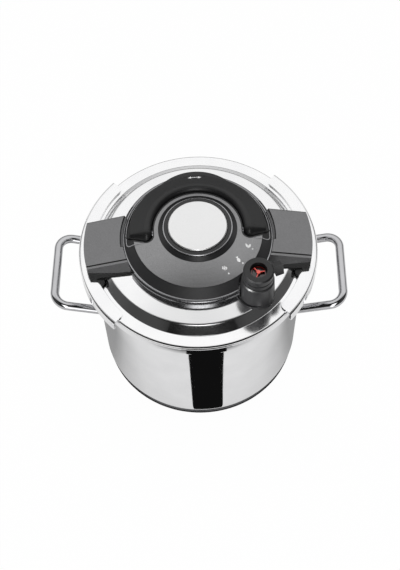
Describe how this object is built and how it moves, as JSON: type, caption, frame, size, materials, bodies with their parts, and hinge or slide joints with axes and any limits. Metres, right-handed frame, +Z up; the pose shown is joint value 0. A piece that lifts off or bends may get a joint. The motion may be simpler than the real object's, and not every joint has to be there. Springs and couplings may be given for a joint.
{
  "type": "stovetop pressure cooker",
  "caption": "Tall round steel pot with a clamped lid: an opening bail drives sliding jaws through hidden cams, beside a turning pressure valve.",
  "frame": {"origin": "centre of the base's underside, on the table", "axes": "+Z up along the pot's axis; +X towards the right jaw and the right side handle; -Y is the front, where the valve stands right of the middle"},
  "size_m": [0.3226, 0.24, 0.2359],
  "materials": {
    "pot_steel": "mirror-polished stainless steel",
    "base_aluminium": "raw",
    "base_steel": "polished stainless steel",
    "handle_steel": "mirror-polished stainless steel",
    "weld_steel": "satin stainless steel",
    "lid_steel": "mirror-polished stainless steel",
    "seal_rubber": "matt",
    "mechanism_steel": "brushed",
    "fastener_steel": "zinc plated",
    "gasket_rubber": "matt",
    "housing_plastic": "fine matt",
    "skirt_metal": "dark polished band",
    "cover_paint": "metallic grey",
    "collar_plastic": "semi-gloss",
    "trim_chrome": "bright",
    "badge_silver": "satin, bare",
    "valve_plastic": "semi-gloss",
    "stem_steel": "turned",
    "safety_brass": "turned",
    "plunger_steel": "turned",
    "spring_steel": "plain wire",
    "bail_plastic": "satin",
    "jaw_steel": "mirror-polished stainless steel",
    "shoe_plastic": "matt",
    "arm_paint": "metallic grey",
    "knob_plastic": "satin",
    "indicator_red": "gloss"
  },
  "bodies": {
    "pot": {"pot_shell": "pot_steel", "base_core": "base_aluminium", "base_cap": "base_steel", "handle_left": "handle_steel", "handle_right": "handle_steel", "handle_pads": "weld_steel"},
    "lid": {"lid_shell": "lid_steel", "seal_ring": "seal_rubber", "guide_frame": "mechanism_steel", "centre_bolt": "fastener_steel", "centre_nut": "fastener_steel", "centre_seal": "gasket_rubber", "housing_shell": "housing_plastic", "skirt_ring": "skirt_metal", "top_cover": "cover_paint", "collar_ring": "collar_plastic", "trim_ring": "trim_chrome", "badge_disc": "badge_silver", "housing_screws": "fastener_steel", "valve_base": "valve_plastic", "valve_stem": "stem_steel", "valve_nut": "fastener_steel", "safety_valve": "safety_brass", "safety_nut": "fastener_steel", "safety_spring": "spring_steel"},
    "bail": {"bail_handle": "bail_plastic", "cam_shaft_left": "mechanism_steel", "cam_shaft_right": "mechanism_steel"},
    "jaw_left": {"jaw_left": "jaw_steel", "slide_plate_left": "mechanism_steel", "arm_base_left": "shoe_plastic", "arm_cover_left": "arm_paint", "jaw_rivets_left": "fastener_steel"},
    "jaw_right": {"jaw_right": "jaw_steel", "slide_plate_right": "mechanism_steel", "arm_base_right": "shoe_plastic", "arm_cover_right": "arm_paint", "jaw_rivets_right": "fastener_steel"},
    "knob": {"valve_knob": "knob_plastic"},
    "indicator": {"pressure_indicator": "indicator_red"},
    "plunger": {"safety_plunger": "plunger_steel"}
  },
  "joints": [
    {"name": "lid_lift", "type": "slide", "parent": "pot", "child": "lid", "axis": [0, 0, 1], "range_m": [0, 0.15]},
    {"name": "handle_raise", "type": "hinge", "parent": "lid", "child": "bail", "pos_m": [0, 0, 0.2102], "axis": [1, 0, 0], "range_deg": [0, 90]},
    {"name": "jaw_left_slide", "type": "slide", "parent": "lid", "child": "jaw_left", "axis": [-1, 0, 0], "range_m": [0, 0.008]},
    {"name": "jaw_right_slide", "type": "slide", "parent": "lid", "child": "jaw_right", "axis": [1, 0, 0], "range_m": [0, 0.008]},
    {"name": "valve_turn", "type": "hinge", "parent": "lid", "child": "knob", "pos_m": [0.05652, -0.06456, 0.2209], "axis": [0, 0, 1], "range_deg": [-66, 0]},
    {"name": "indicator_rise", "type": "slide", "parent": "lid", "child": "indicator", "axis": [0, 0, 1], "range_m": [0, 0.004]},
    {"name": "safety_pop", "type": "slide", "parent": "lid", "child": "plunger", "axis": [0, 0, 1], "range_m": [0, 0.0015], "deforming": ["safety_spring"]}
  ],
  "couplings": [
    {"joint": "jaw_left_slide", "follows": "handle_raise", "m_per_rad": 0.00509},
    {"joint": "jaw_right_slide", "follows": "handle_raise", "m_per_rad": 0.00509}
  ]
}
